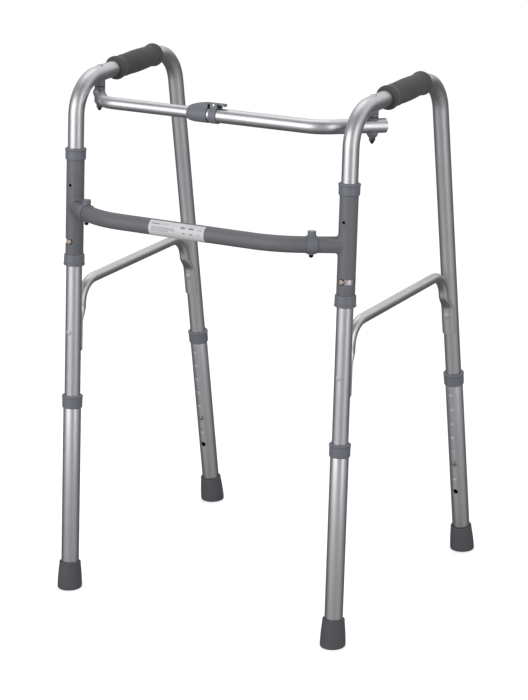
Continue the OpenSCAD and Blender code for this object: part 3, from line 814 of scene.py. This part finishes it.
def side_brace(name, side):
    """Bent tube between post and rear leg, both ends pressed flat round them."""
    front_end = pressed_end(at_leg(side, True))
    rear_end = pressed_end(at_leg(side, False))[::-1]
    low_front = at_leg(side, True) @ Vector((0, BRACE_STAND, BRACE_ROUND))
    low_rear = at_leg(side, False) @ Vector((0, BRACE_STAND, BRACE_ROUND))
    top_front = low_front + (BRACE_HEIGHT - low_front.z) / POST_UP.z * POST_UP
    top_rear = low_rear + (BRACE_HEIGHT - low_rear.z) / REAR_UP.z * REAR_UP
    normal = Vector((1, 0, 0))
    stations = path_stations([low_front, top_front, top_rear, low_rear], BRACE_BEND, 2.5 * MM)
    round_part = []
    for point, direction in stations[1:-1]:
        across = direction.cross(normal).normalized()
        round_part.append([point + BRACE_R * (c * normal - s * across) for c, s in steps_round(BRACE_SEGMENTS)])
    rings = list(front_end)
    for ring in round_part + rear_end:
        rings.append(lined_up(ring, rings[-1]))
    bm = bmesh.new()
    verts = [[bm.verts.new(point) for point in ring] for ring in rings]
    bridge_rings(bm, verts, False)
    cap_ends(bm, verts)
    brace = new_piece(f"{name}_side_brace", bm, BRACE_ALUMINIUM, 50)
    stand_in(brace, f"{name}_side", "frame_aluminium", f"{name}_brace")


# ---------- legs ----------


def outer_leg(name, side, end, front):
    leg = at_leg(side, front)
    outline = rounded(
        [(LEG_R, LEG_BOTTOM), (LEG_R, LEG_TOP), (LEG_BORE, LEG_TOP), (LEG_BORE, LEG_BOTTOM)], 0.3 * MM, 2
    )
    tube = lathe(f"{name}_{end}_leg_tube", outline, leg, POST_ALUMINIUM, 56)
    facing = leg.to_3x3() @ Vector((0, 1, 0))
    holes = [
        (leg @ Vector((0, 0, SET_HEIGHT + (SET_HOLE - i) * HOLE_PITCH)), facing, LEG_HOLE_R, CUT_LENGTH)
        for i in range(1, HOLE_COUNT + 1)
    ]
    drill(tube, holes)
    ease_edges(tube, 0.35 * MM, 3)
    stand_in(tube, f"{name}_{end}_leg", "frame_aluminium", f"{name}_{end}_leg")


def collar_outline(height):
    """Closed outline of a collar standing on z = 0 with its mouth lip at the top."""
    bore = FRAME_R + 0.3 * MM
    return rounded(
        [
            (LEG_R, 0),
            (CAP_R - 0.9 * MM, 0),
            (CAP_R - 0.25 * MM, 1.4 * MM),
            (CAP_R - 0.1 * MM, height - 5.6 * MM),
            (CAP_R - 0.1 * MM, height - 5.2 * MM),
            (CAP_R - 0.6 * MM, height - 4.8 * MM),
            (CAP_R - 0.6 * MM, height - 4.3 * MM),
            (CAP_R + 0.55 * MM, height - 3.9 * MM),
            (CAP_R + 0.55 * MM, height - 1.2 * MM),
            (CAP_R - 1.3 * MM, height),
            (bore, height),
            (bore, height - CAP_LIP),
            (LEG_R, height - CAP_LIP),
        ],
        0.5 * MM,
        3,
    )


def collar(name, body, place, cad_node, height):
    piece = lathe(name, collar_outline(height), place, GREY_PLASTIC)
    stand_in(piece, body, "grey_plastic", cad_node)


def foot(name, side, end, front):
    """Rubber ferrule: rolled lip, slight taper, rounded heel and a ringed tread, flat on the floor."""
    leg = at_leg(side, front)
    tread = []
    for k in range(4):
        r = (3.2 + 3.9 * k) * MM
        tread += [(r, 0.9 * MM), (r + 0.5 * MM, 0.0), (r + 1.7 * MM, 0.0), (r + 2.2 * MM, 0.9 * MM)]
    outline = tread + [
        (17.9 * MM, 0.9 * MM),
        (18.2 * MM, 0.15 * MM),
        (18.9 * MM, 0.1 * MM),
        (19.7 * MM, 0.8 * MM),
        (20.0 * MM, 2.2 * MM),
        (20.0 * MM, 5.5 * MM),
        (19.85 * MM, 10.0 * MM),
        (19.3 * MM, 20.0 * MM),
        (18.5 * MM, 30.0 * MM),
        (17.6 * MM, 38.5 * MM),
        (17.45 * MM, 39.4 * MM),
        (17.55 * MM, 40.2 * MM),
        (17.55 * MM, 42.4 * MM),
        (17.1 * MM, 43.5 * MM),
        (16.2 * MM, 44.0 * MM),
        (15.2 * MM, 43.7 * MM),
        (14.6 * MM, 42.6 * MM),
        (LEG_R, 40.0 * MM),
        (LEG_R, 8.0 * MM),
        (1.0 * MM, 8.0 * MM),
    ]
    # near the floor every ring is level; higher up it is square to the leaning leg
    level_height = 14 * MM
    bm = bmesh.new()
    turned = steps_round(TUBE_SEGMENTS)
    rings = []
    for r, z in outline:
        tilt = min(max(z / level_height, 0), 1)
        middle = leg @ Vector((0, 0, z))
        ring = []
        for c, s in turned:
            point = leg @ Vector((r * c, r * s, z))
            point.z = middle.z + (point.z - middle.z) * tilt
            ring.append(bm.verts.new(point))
        rings.append(ring)
    bridge_rings(bm, rings, False)
    cap_ends(bm, rings)
    piece = new_piece(f"{name}_{end}_ferrule", bm, FOOT_RUBBER, 55)
    stand_in(piece, f"{name}_{end}_leg", "foot_rubber", f"{name}_{end}_foot")


# ---------- sleeves and crossbar ----------


def sleeve_slot(post, side):
    """Cutter for the slot that the fold button runs in, from the front hole to the folded one."""
    slot = bmesh.new()
    steps = 18
    inside, outside, half = LEG_R - 2.6 * MM, LEG_R + 2.4 * MM, 4 * MM
    rings = []
    for k in range(steps + 1):
        angle = side * FOLD_TURN * k / steps - math.pi / 2
        way = Vector((math.cos(angle), math.sin(angle), 0))
        section = ((inside, -half), (outside, -half), (outside, half), (inside, half))
        rings.append([slot.verts.new(post @ (way * r + Vector((0, 0, FOLD_HEIGHT + z)))) for r, z in section])
    bridge_rings(slot, rings, False)
    cap_ends(slot, rings)
    bmesh.ops.recalc_face_normals(slot, faces=slot.faces)
    return slot


def sleeve(name, side):
    """Painted tube round the front post, with the fold button's two holes and slot, and a small hole above."""
    post = at_leg(side, True)
    low, high = SLEEVE_LOW + CAP_LIP, SLEEVE_HIGH - CAP_LIP
    outline = rounded([(LEG_R, low), (LEG_R, high), (LEG_BORE, high), (LEG_BORE, low)], 0.3 * MM, 2)
    tube = lathe(f"{name}_sleeve_tube", outline, post, SLEEVE_PAINT)
    ahead = post.to_3x3() @ Vector((0, -1, 0))
    folded = post.to_3x3() @ (Matrix.Rotation(side * FOLD_TURN, 3, "Z") @ Vector((0, -1, 0)))
    holes = [
        (post @ Vector((0, 0, UPPER_HOLE)), ahead, UPPER_HOLE_R, CUT_LENGTH),
        (post @ Vector((0, 0, FOLD_HEIGHT)), ahead, FOLD_HOLE_R, CUT_LENGTH),
        (post @ Vector((0, 0, FOLD_HEIGHT)), folded, FOLD_HOLE_R, CUT_LENGTH),
    ]
    drill(tube, holes)
    cut_away(tube, sleeve_slot(post, side))
    ease_edges(tube, 0.25 * MM)
    stand_in(tube, "front_frame", "sleeve_paint", f"{name}_sleeve")


def stub(name, side):
    """Short tube that leaves the sleeve and carries one end of the crossbar."""
    post = at_leg(side, True)
    bore, start_x = STUB_R - 1.6 * MM, 9 * MM
    outline = [(STUB_R, start_x), (STUB_R, STUB_LENGTH), (bore, STUB_LENGTH), (bore, start_x)]
    piece = lathe(f"{name}_stub", rounded(outline, 0.25 * MM, 2), at_stub(side) @ ALONG_X, SLEEVE_PAINT)
    # the hidden start of the stub stays outside the bore that the side tube turns in
    nearest = LEG_R - 0.6 * MM
    for vertex in piece.data.vertices:
        local = post.inverted() @ vertex.co
        reach = math.hypot(local.x, local.y)
        if reach < nearest:
            grow = nearest / max(reach, 1e-6)
            vertex.co = post @ Vector((local.x * grow, local.y * grow, local.z))
    stand_in(piece, "front_frame", "sleeve_paint")


def weld(name, side):
    """Smooth fillet between stub and sleeve."""
    bm = bmesh.new()
    place = at_stub(side)
    curve_steps = 8
    rings = []
    for c, s in steps_round(72):
        reach = min(5.5 * MM, 0.975 * LEG_R / max(abs(c), 1e-6) - STUB_R)
        x_root = math.sqrt(max(LEG_R**2 - (STUB_R * c) ** 2, 0))
        out_r = STUB_R + reach
        x_sleeve = math.sqrt(max(LEG_R**2 - (out_r * c) ** 2, 0))
        on_stub = Vector((x_root + max(reach, 3.2 * MM), STUB_R * c, STUB_R * s))
        on_sleeve = Vector((x_sleeve, out_r * c, out_r * s))
        root = Vector((x_root, STUB_R * c, STUB_R * s))
        inner = Vector((x_root - 0.4 * MM, (STUB_R - 0.5 * MM) * c, (STUB_R - 0.5 * MM) * s))
        points = []
        for n in range(curve_steps + 1):
            t = n / curve_steps
            points.append((1 - t) ** 2 * on_stub + 2 * t * (1 - t) * root + t * t * on_sleeve)
        points += [on_sleeve.lerp(inner, 0.25), inner, on_stub.lerp(inner, 0.25)]
        rings.append([bm.verts.new(place @ point) for point in points])
    bridge_rings(bm, rings, True)
    stand_in(new_piece(f"{name}_weld", bm, SLEEVE_PAINT, 70), "front_frame", "sleeve_paint")


def sleeve_caps(name, side):
    """A moulded cap on each end of the sleeve, its lip outward."""
    post = at_leg(side, True)
    upper = post @ Matrix.Translation((0, 0, SLEEVE_HIGH - CAP_HEIGHT))
    lower = post @ Matrix.Translation((0, 0, SLEEVE_LOW + CAP_HEIGHT)) @ Matrix.Rotation(math.pi, 4, "X")
    collar(f"{name}_sleeve_top_cap", "front_frame", upper, f"{name}_upper_cap", CAP_HEIGHT)
    collar(f"{name}_sleeve_foot_cap", "front_frame", lower, f"{name}_lower_cap", CAP_HEIGHT)


def crossbar():
    plane = across_posts(TEE_HEIGHT)
    start = Vector((POST_X - STUB_LENGTH * math.cos(BOW_ANGLE), -STUB_LENGTH * math.sin(BOW_ANGLE), 0))
    corner = Vector((POST_X - BOW_DEPTH / math.tan(BOW_ANGLE), -BOW_DEPTH, 0))
    flat = [Vector((-start.x, start.y, 0)), Vector((-corner.x, corner.y, 0)), corner, start]
    corners = [plane @ point for point in flat]
    inner = CROSSBAR_R - 1.5 * MM
    tube = swept_tube(
        "crossbar_tube", corners, BOW_BEND, POST_UP, CROSSBAR_R, inner, SLEEVE_PAINT, segments=TUBE_SEGMENTS
    )
    stand_in(tube, "front_frame", "sleeve_paint", "crossbar")


# ---------- top bar ----------


def top_bar():
    """A thin tube from the left pivot that slides in a thick one from the right pivot."""
    plane = across_posts(BAR_HEIGHT)
    corner_x = POST_X - (PIVOT_OFFSET - BAR_LINE) / math.tan(BAR_ANGLE)
    tail = Vector((POST_X + BAR_TAIL * math.cos(BAR_ANGLE), PIVOT_OFFSET + BAR_TAIL * math.sin(BAR_ANGLE), 0))
    left = [Vector((-tail.x, tail.y, 0)), Vector((-corner_x, BAR_LINE, 0)), Vector((50 * MM, BAR_LINE, 0))]
    right = [Vector((-8 * MM, BAR_LINE, 0)), Vector((corner_x, BAR_LINE, 0)), tail]
    for name, flat, outer, pin_hole in (
        ("left", left, INNER_BAR_R, 2.2 * MM),
        ("right", right, OUTER_BAR_R, 3.4 * MM),
    ):
        corners = [plane @ point for point in flat]
        inner = outer - BAR_WALL
        tube = swept_tube(f"{name}_bar_tube", corners, BAR_BEND, POST_UP, outer, inner, BAR_ALUMINIUM)
        below_pivot = at_pivot(SIDES[name]) @ Vector((0, 0, -30 * MM))
        above_pin = at_bar() @ Vector((PIN_X, 0, 0))
        drill(
            tube,
            [
                (below_pivot, POST_UP, PIVOT_R + 0.07 * MM, 60 * MM),
                (above_pin, POST_UP, pin_hole, 30 * MM),
            ],
        )
        ease_edges(tube, 0.15 * MM)
        stand_in(tube, f"{name}_bar", "frame_aluminium", f"{name}_bar")


def smooth_max(a, b, soft):
    """The larger of two values, rounded off where they are nearly the same."""
    h = max(soft - abs(a - b), 0) / soft
    return max(a, b) + h * h * soft / 4


def hump_radius(angle, base, top, half_width):
    """Distance from the axis to a round body with a soft-cornered block on top; angle 0 is straight up."""
    c, s = math.cos(angle), abs(math.sin(angle))
    if c <= 0.02:
        return base
    block = -smooth_max(-top / c, -half_width / max(s, 1e-6), 2.2 * MM)
    return smooth_max(base, block, 1.6 * MM)


def lock_shell(name, stations, bore, pocket):
    """A lofted ring along the bar: stations are (x, body radius, top, half width of the block)."""
    place = at_bar()
    bm = bmesh.new()
    count = 96
    rings = []
    for x, base, top, half_width in stations:
        ring = []
        for k in range(count):
            angle = TURN * k / count
            r = hump_radius(angle, base, top, half_width)
            ring.append(bm.verts.new(place @ Vector((x, r * math.sin(angle), r * math.cos(angle)))))
        rings.append(ring)
    for x, r in bore:
        rings.append([bm.verts.new(place @ Vector((x, r * s, r * c))) for c, s in steps_round(count)])
    bridge_rings(bm, rings, True)
    piece = new_piece(f"{name}_shell", bm, GREY_PLASTIC, 40)
    low, high = pocket
    box = bmesh.new()
    bmesh.ops.create_cube(box, size=1)
    for vertex in box.verts:
        vertex.co = place @ Vector([low[n] + (high[n] - low[n]) * (vertex.co[n] + 0.5) for n in range(3)])
    cut_away(piece, box)
    ease_edges(piece, 0.3 * MM, 2)
    stand_in(piece, "right_bar", "grey_plastic", name)


def lock_nose():
    """Bullet-shaped end of the thick tube, its block rising toward the lever and hollowed for it."""
    start_r, steps = 10.7 * MM, 14
    stations = []
    for k in range(steps + 1):
        t = k / steps
        base = start_r + (LOCK_R - start_r) * min(1, t * 3.2) ** 0.6
        rise = math.sin(min(max((t - 0.04) / 0.96, 0), 1) * math.pi / 2)
        top = base + (LOCK_TOP - base) * rise
        stations.append((NOSE_START + (NOSE_END - NOSE_START) * t, base, top, (3.5 + 3.1 * rise) * MM))
    thin_bore, step_x = INNER_BAR_R + 0.3 * MM, -8 * MM
    bore = [(NOSE_END, LOCK_BORE), (step_x, LOCK_BORE), (step_x - 0.4 * MM, thin_bore), (NOSE_START, thin_bore)]
    pocket = ((-9 * MM, -4.6 * MM, 11.6 * MM), (2 * MM, 4.6 * MM, 17 * MM))
    lock_shell("lock_nose", stations, bore, pocket)


def lock_ring():
    """Ring on the thick tube with two cheeks that hold the lever's axle."""
    edge = 0.4 * MM
    along = (RING_START, RING_START + edge, 10 * MM, 14 * MM, RING_END - edge, RING_END)
    stations = [(x, LOCK_R, LOCK_TOP, 6.5 * MM) for x in along]
    pocket = ((RING_START - MM, -4.3 * MM, 13.2 * MM), (RING_END + MM, 4.3 * MM, 20 * MM))
    lock_shell("lock_ring", stations, [(RING_END, LOCK_BORE), (RING_START, LOCK_BORE)], pocket)


def lock_coil():
    """Compression spring under the lever's finger tab."""
    place = at_bar() @ Matrix.Translation((COIL_X, 0, OUTER_BAR_R + 0.3 * MM))
    wire, coil_r, turns, height = 0.42 * MM, 1.95 * MM, 4, 4 * MM
    up = Vector((0, 0, 1))
    bm = bmesh.new()
    rings = []
    steps = 96
    for k in range(steps + 1):
        t = k / steps
        angle = TURN * turns * t
        out = Vector((math.cos(angle), math.sin(angle), 0))
        centre = coil_r * out + (wire + (height - 2 * wire) * t) * up
        rings.append([bm.verts.new(place @ (centre + wire * (c * out + s * up))) for c, s in steps_round(10)])
    bridge_rings(bm, rings, False)
    cap_ends(bm, rings)
    stand_in(new_piece("lock_coil", bm, DARK_STEEL, 60), "right_bar", "dark_steel", "lock_spring")


# ---------- assembly ----------

for name, side in SIDES.items():
    side_tube(name, side)
    hand_grip(name, side)
    side_brace(name, side)
    sleeve(name, side)
    stub(name, side)
    weld(name, side)
    sleeve_caps(name, side)
    for end, front in ENDS.items():
        outer_leg(name, side, end, front)
        mouth = at_leg(side, front) @ Matrix.Translation((0, 0, COLLAR_LOW))
        collar(f"{name}_{end}_leg_collar", f"{name}_{end}_leg", mouth, f"{name}_{end}_collar", COLLAR_HEIGHT)
        foot(name, side, end, front)
        keep(f"{name}_{end}_button", BUTTON_METAL_PAINTED_REFLECTION)
    for node in ("brace_bolts", "pivot_bolt"):
        keep(f"{name}_{node}", BRIGHT_STEEL)
    keep(f"{name}_fold_button", BUTTON_METAL_PAINTED_REFLECTION)
    for node in ("clamp", "saddle", "bar_saddle", "cup_washer"):
        keep(f"{name}_{node}", GREY_PLASTIC)
    for node in ("washer", "dome_nut"):
        keep(f"{name}_{node}", DARK_STEEL)

crossbar()
top_bar()
lock_nose()
lock_ring()
lock_coil()
keep("clamp_screws", two_tone_steel(*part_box("clamp_screws")))
keep("bar_glide", GREY_PLASTIC)
keep("lock_axle", BRIGHT_STEEL)
keep("lock_lever", GREY_PLASTIC)
keep("lock_pin", BUTTON_METAL_PAINTED_REFLECTION)
keep("label", label_material(*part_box("label")))

# ---------- floor, light and camera ----------


def floor():
    """Pale sheet just under the feet, kept out of the reflections in the tubes."""
    bm = bmesh.new()
    bmesh.ops.create_grid(bm, x_segments=1, y_segments=1, size=12)
    made, tree, shader, place = principled("pale floor")
    tone = mix_colour(tree, noise(tree, place, 0.6, 1.0), (0.90, 0.90, 0.905), (0.92, 0.92, 0.925))
    tree.links.new(tone, shader.inputs["Base Color"])
    shader.inputs["Roughness"].default_value = 0.9
    shader.inputs["Emission Color"].default_value = (1, 1, 1, 1)
    shader.inputs["Emission Strength"].default_value = 0.5
    ground = new_piece("floor", bm, made)
    ground.visible_glossy = False
    ground.visible_diffuse = False
    ground.location.z = cad_low.z - 0.0005


def area_light(name, place, aim, size, power):
    lamp = bpy.data.lights.new(name, "AREA")
    lamp.shape, lamp.size, lamp.size_y = "RECTANGLE", *size
    lamp.energy = power
    made = bpy.data.objects.new(name, lamp)
    made.location = place
    made.rotation_euler = (Vector(aim) - Vector(place)).to_track_quat("-Z", "Y").to_euler()
    bpy.context.scene.collection.objects.link(made)


def glow_toward(tree, direction, toward, low, high):
    """1 where the direction points toward a side of the studio, fading to 0 away from it."""
    dot = tree.nodes.new("ShaderNodeVectorMath")
    dot.operation = "DOT_PRODUCT"
    dot.inputs[1].default_value = toward
    tree.links.new(direction, dot.inputs[0])
    return spread(tree, dot.outputs["Value"], low, high)


def studio():
    """White surroundings to look at, with softer and darker sides for the metal to reflect."""
    world = bpy.data.worlds.new("studio")
    bpy.context.scene.world = world
    world.use_nodes = True
    tree = world.node_tree
    tree.nodes.clear()
    out = tree.nodes.new("ShaderNodeOutputWorld")
    seen = tree.nodes.new("ShaderNodeBackground")
    seen.inputs["Color"].default_value = (1, 1, 1, 1)
    seen.inputs["Strength"].default_value = 1.05
    lit = tree.nodes.new("ShaderNodeBackground")
    direction = tree.nodes.new("ShaderNodeTexCoord").outputs["Generated"]
    split = tree.nodes.new("ShaderNodeSeparateXYZ")
    tree.links.new(direction, split.inputs[0])
    behind = spread(tree, split.outputs["Y"], -0.1, 0.6)
    above = spread(tree, split.outputs["Z"], 0.05, 0.4)
    backdrop = math_node(tree, "MULTIPLY", math_node(tree, "MULTIPLY", behind, above), 0.75)
    front = glow_toward(tree, direction, (-0.30, -0.95, 0.0), 0.45, 0.95)
    right = glow_toward(tree, direction, (0.94, -0.25, -0.25), 0.5, 0.95)
    base = spread(tree, split.outputs["Z"], -0.3, 0.5, 0.13, 0.38)
    sides = weighed(tree, front, 0.5, right, 0.36)
    total = math_node(tree, "ADD", math_node(tree, "ADD", backdrop, sides), base)
    tree.links.new(total, lit.inputs["Strength"])
    mix = tree.nodes.new("ShaderNodeMixShader")
    rays = tree.nodes.new("ShaderNodeLightPath")
    tree.links.new(rays.outputs["Is Camera Ray"], mix.inputs["Fac"])
    tree.links.new(lit.outputs[0], mix.inputs[1])
    tree.links.new(seen.outputs[0], mix.inputs[2])
    tree.links.new(mix.outputs[0], out.inputs["Surface"])
    area_light("key softbox", (-0.75, -2.3, 1.35), (0, 0, 1.0), (2.4, 2.0), 25)
    area_light("top softbox", (-0.6, 0.6, 3.0), (0, 0, 0.3), (2.0, 2.0), 9)
    area_light("side softbox", (2.1, -0.75, 1.1), (0, 0, 0.8), (1.0, 2.0), 9)


def camera():
    """Long lens, a little above the handles, turned to the right of the front."""
    azimuth, elevation, roll = math.radians(30.985), math.radians(17.922), math.radians(-1.220)
    distance = 4.3719
    aim = Vector((0, 0.0025, 0.4))
    back = Vector(
        (math.sin(azimuth) * math.cos(elevation), -math.cos(azimuth) * math.cos(elevation), math.sin(elevation))
    )
    level = Vector((math.cos(azimuth), math.sin(azimuth), 0))
    upright = back.cross(level)
    right = math.cos(roll) * level + math.sin(roll) * upright
    up = math.cos(roll) * upright - math.sin(roll) * level
    lens = bpy.data.cameras.new("camera")
    lens.sensor_fit, lens.sensor_height = "VERTICAL", 36
    lens.lens = 139.4964
    lens.shift_x, lens.shift_y = -0.00064, -0.0193
    made = bpy.data.objects.new("camera", lens)
    made.matrix_world = axes(aim + back * distance, right, up, back)
    bpy.context.scene.collection.objects.link(made)
    bpy.context.scene.camera = made


floor()
studio()
camera()
bpy.context.scene.view_settings.view_transform = "Standard"
